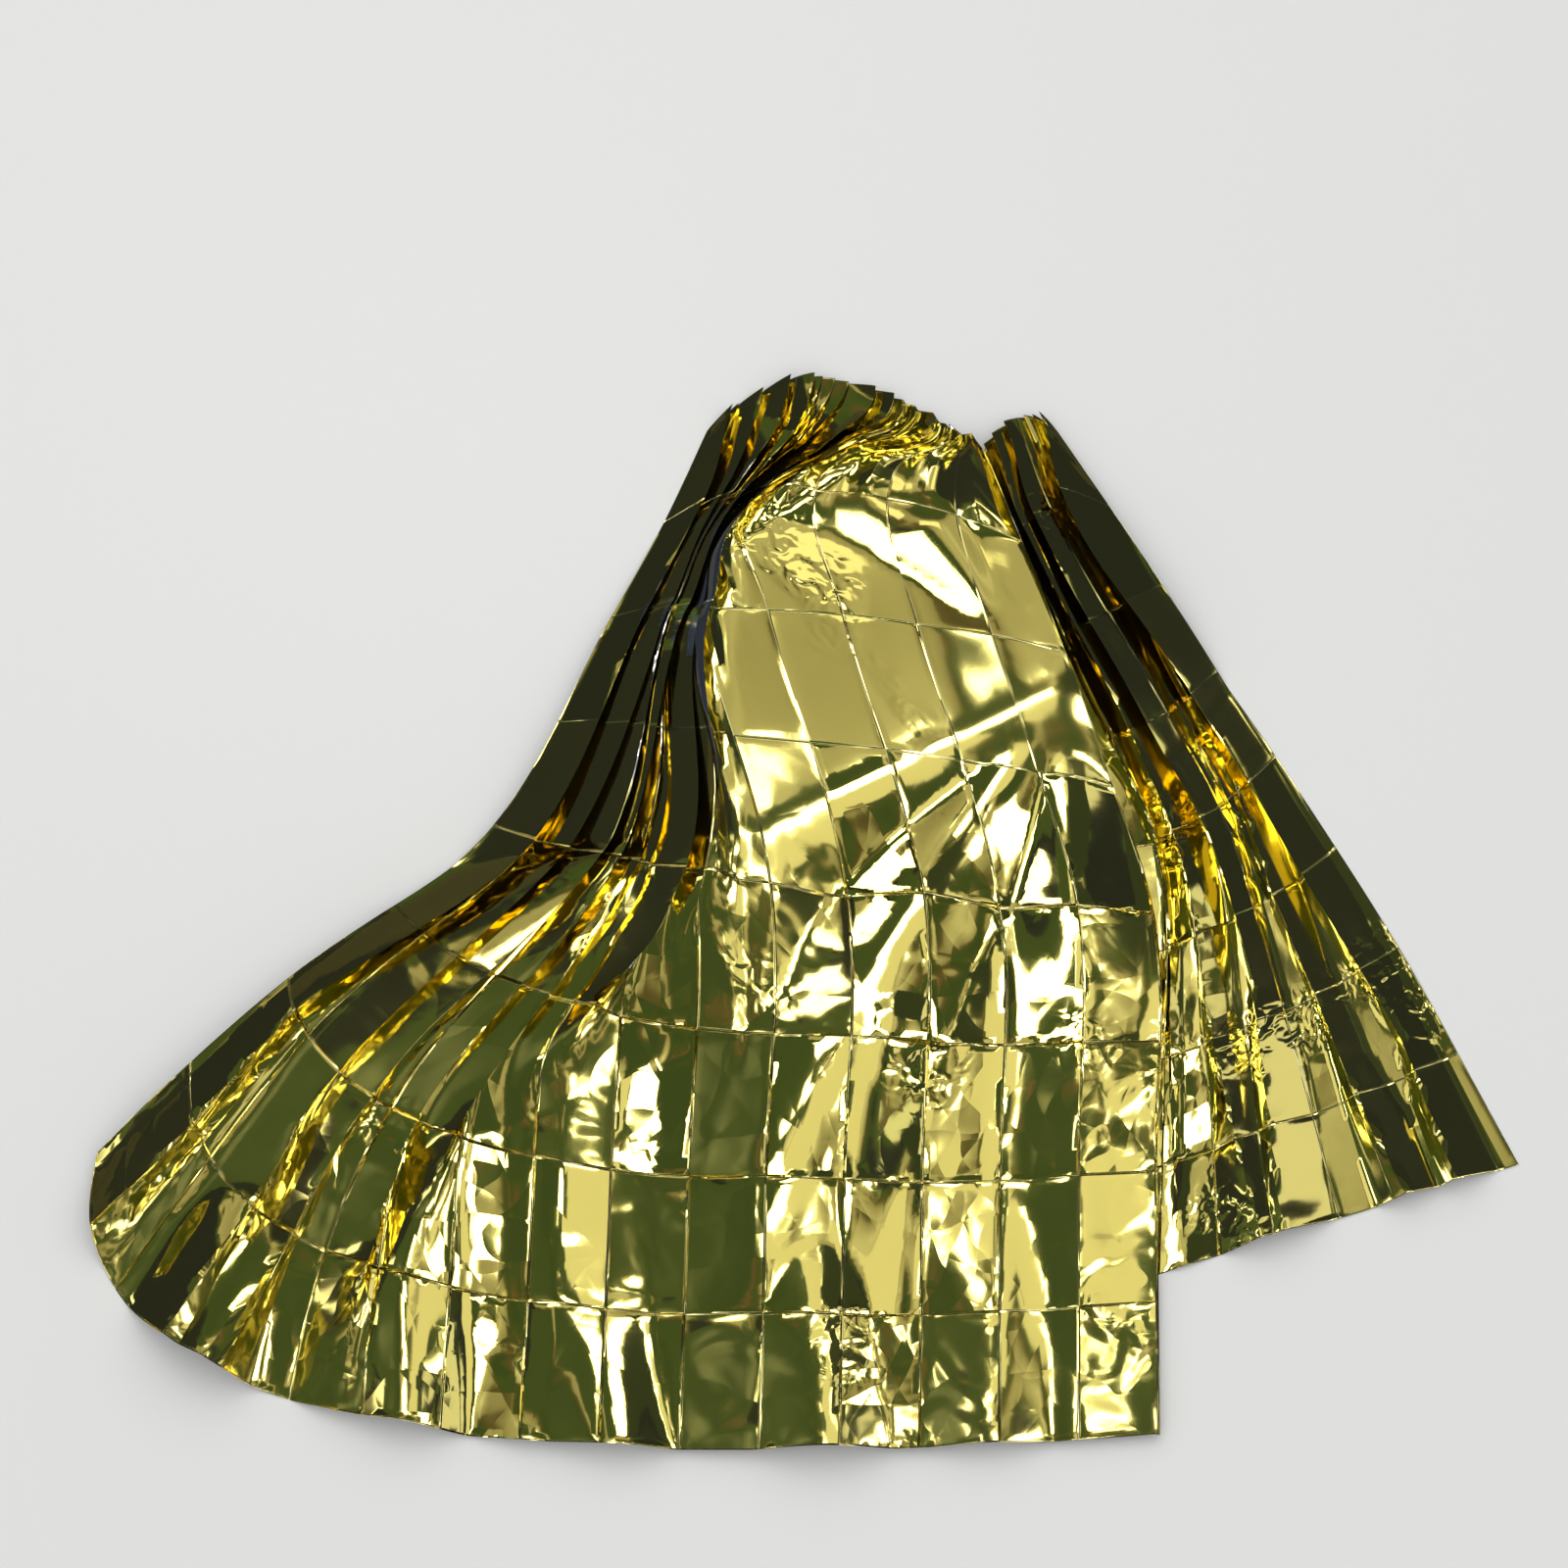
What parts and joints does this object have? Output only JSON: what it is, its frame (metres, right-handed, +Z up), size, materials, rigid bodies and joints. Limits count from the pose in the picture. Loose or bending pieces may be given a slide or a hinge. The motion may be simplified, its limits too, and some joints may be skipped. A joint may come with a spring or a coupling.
{
  "type": "emergency foil blanket",
  "caption": "Thin gold and silver foil blanket, laid out gold side up from a gathered edge, with packing creases, laid-over pleats and one deep overlap.",
  "frame": {"origin": "middle of the bounding box, on the floor that the blanket lies on", "axes": "+Z up from the floor, +X to the right along the hem, +Y from the wide hem towards the gathered collar"},
  "size_m": [1.5781, 1.2772, 0.0782],
  "materials": {
    "gold_foil": "mirror-bright metallised film, gold lacquer outside and bare silver on the reverse"
  },
  "bodies": {
    "root": {"blanket": "gold_foil"}
  },
  "joints": []
}
